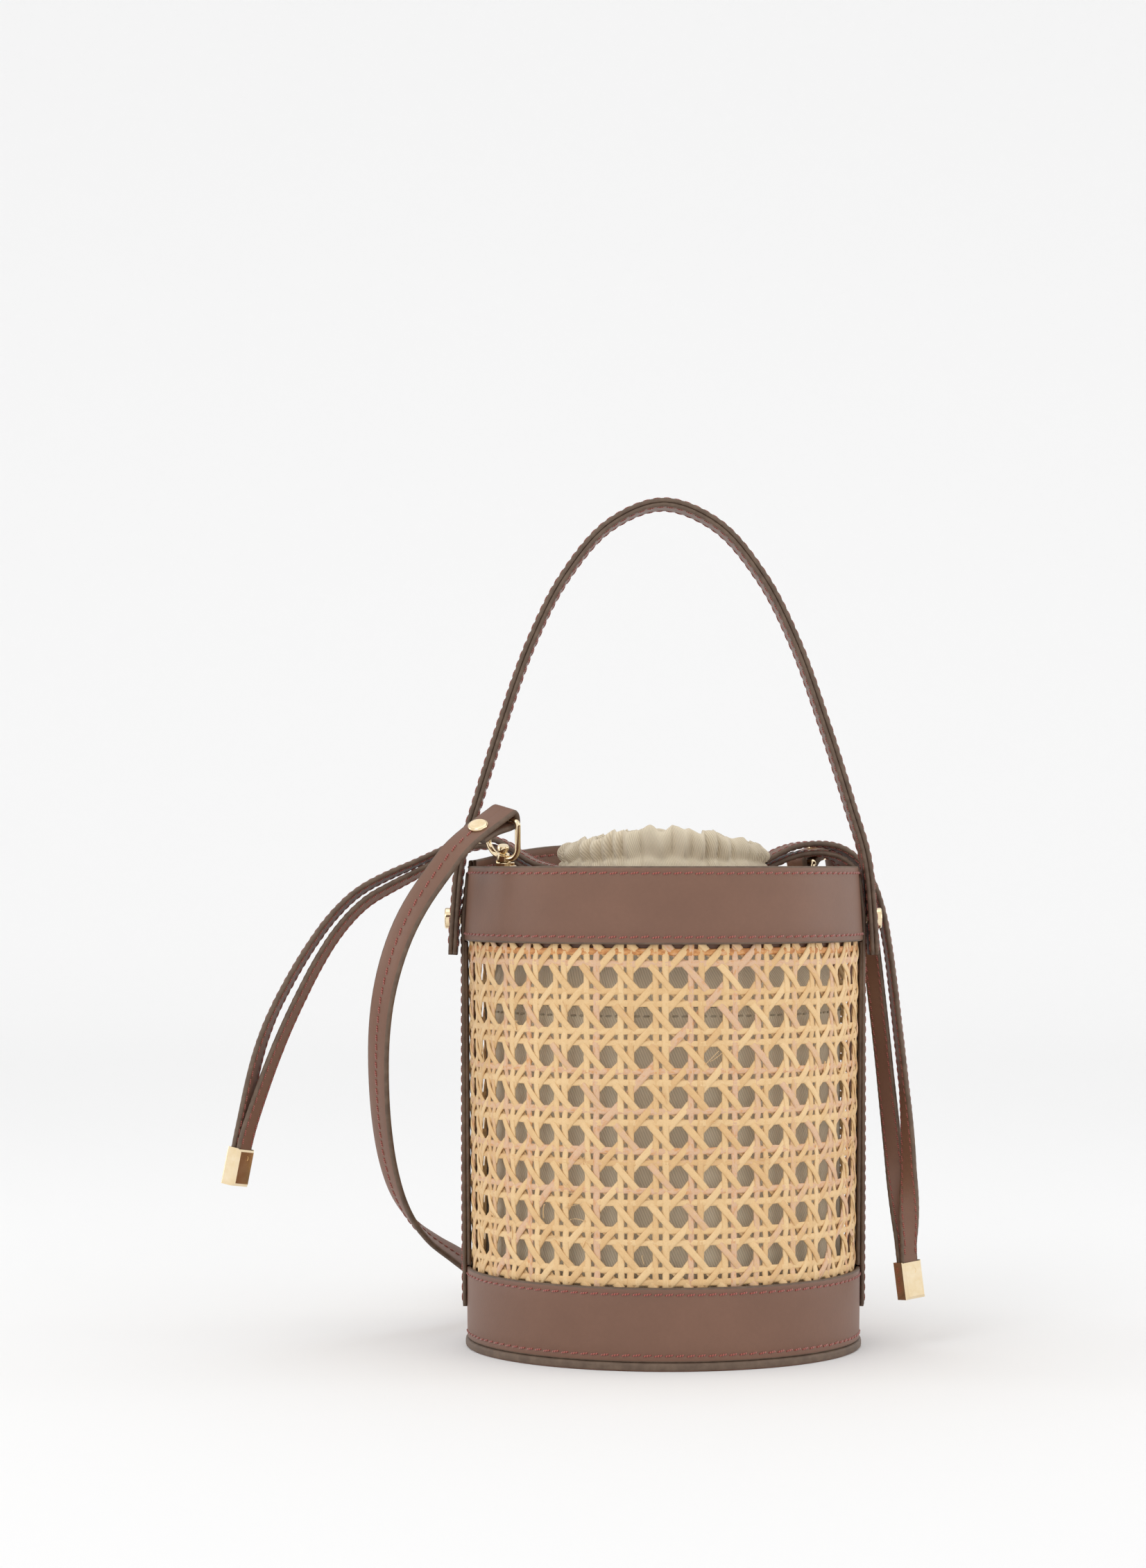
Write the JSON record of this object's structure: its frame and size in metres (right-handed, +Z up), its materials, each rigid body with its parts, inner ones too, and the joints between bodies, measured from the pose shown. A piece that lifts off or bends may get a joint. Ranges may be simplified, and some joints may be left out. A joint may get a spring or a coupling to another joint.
{
  "type": "bucket bag",
  "caption": "Round bucket bag of woven cane and leather with a top handle, clipped shoulder strap and drawstring pouch inside.",
  "frame": {"origin": "centre of the underside of the base, on the surface the bag stands on", "axes": "+Z up, -Y towards the front of the bag, +X to the right seen from the front"},
  "size_m": [0.2759, 0.2995, 0.3332],
  "materials": {
    "leather": "satin brown leather with painted edges and contrast stitching",
    "cane": "woven natural cane, satin skin",
    "twill": "beige cotton twill",
    "gold_hardware": "pale gold plate, polished",
    "board": "covered stiffener board"
  },
  "bodies": {
    "bag": {"base_board": "board", "base_panel": "leather", "bottom_band_back": "leather", "bottom_band_front": "leather", "cane_back": "cane", "cane_front": "cane", "cap_screw_left": "gold_hardware", "cap_screw_right": "gold_hardware", "d_ring_left": "gold_hardware", "d_ring_right": "gold_hardware", "end_cap_left": "leather", "end_cap_right": "leather", "handle_screw_left": "gold_hardware", "handle_screw_right": "gold_hardware", "handle_stud_left": "gold_hardware", "handle_stud_right": "gold_hardware", "hook_eye_left": "gold_hardware", "hook_eye_right": "gold_hardware", "lace_left_lower": "leather", "lace_left_upper": "leather", "lace_right_lower": "leather", "lace_right_upper": "leather", "pouch_body": "twill", "pouch_channel": "twill", "pouch_ruffle": "twill", "pouch_shoulder": "twill", "ring_tab_left": "leather", "ring_tab_right": "leather", "seam_facing_left": "leather", "seam_facing_right": "leather", "shoulder_strap": "leather", "side_strip_left": "leather", "side_strip_right": "leather", "strap_fold_left": "leather", "strap_fold_right": "leather", "strap_rivet_left": "gold_hardware", "strap_rivet_right": "gold_hardware", "top_band_back": "leather", "top_band_front": "leather", "top_facing_back": "leather", "top_facing_front": "leather"},
    "handle": {"handle_outer": "leather", "handle_inner": "leather"},
    "hook_left": {"hook_body_left": "gold_hardware", "gate_pin_left": "gold_hardware"},
    "gate_left": {"hook_gate_left": "gold_hardware"},
    "hook_right": {"hook_body_right": "gold_hardware", "gate_pin_right": "gold_hardware"},
    "gate_right": {"hook_gate_right": "gold_hardware"}
  },
  "joints": [
    {"name": "handle_swing", "type": "hinge", "parent": "bag", "child": "handle", "pos_m": [0, 0, 0.168], "axis": [1, 0, 0], "range_deg": [-26, 14]},
    {"name": "hook_swivel_left", "type": "hinge", "parent": "bag", "child": "hook_left", "pos_m": [-0.06277, -0.02112, 0.19216], "axis": [0, -0.36, 0.933], "range_deg": [-9, 9]},
    {"name": "gate_open_left", "type": "hinge", "parent": "hook_left", "child": "gate_left", "pos_m": [-0.05945, -0.01798, 0.18608], "axis": [-0.2186, 0.9104, 0.3513], "range_deg": [0, 22], "stiffness_Nm_per_rad": 0.002, "springref_deg": -5.73},
    {"name": "hook_swivel_right", "type": "hinge", "parent": "bag", "child": "hook_right", "pos_m": [0.05386, 0.03715, 0.17485], "axis": [0.228, 0.157, 0.9609], "range_deg": [-9, 9]},
    {"name": "gate_open_right", "type": "hinge", "parent": "hook_right", "child": "gate_right", "pos_m": [0.04962, 0.03423, 0.16925], "axis": [0.5678, -0.8231, -0.0002], "range_deg": [0, 22], "stiffness_Nm_per_rad": 0.002, "springref_deg": -5.73}
  ]
}
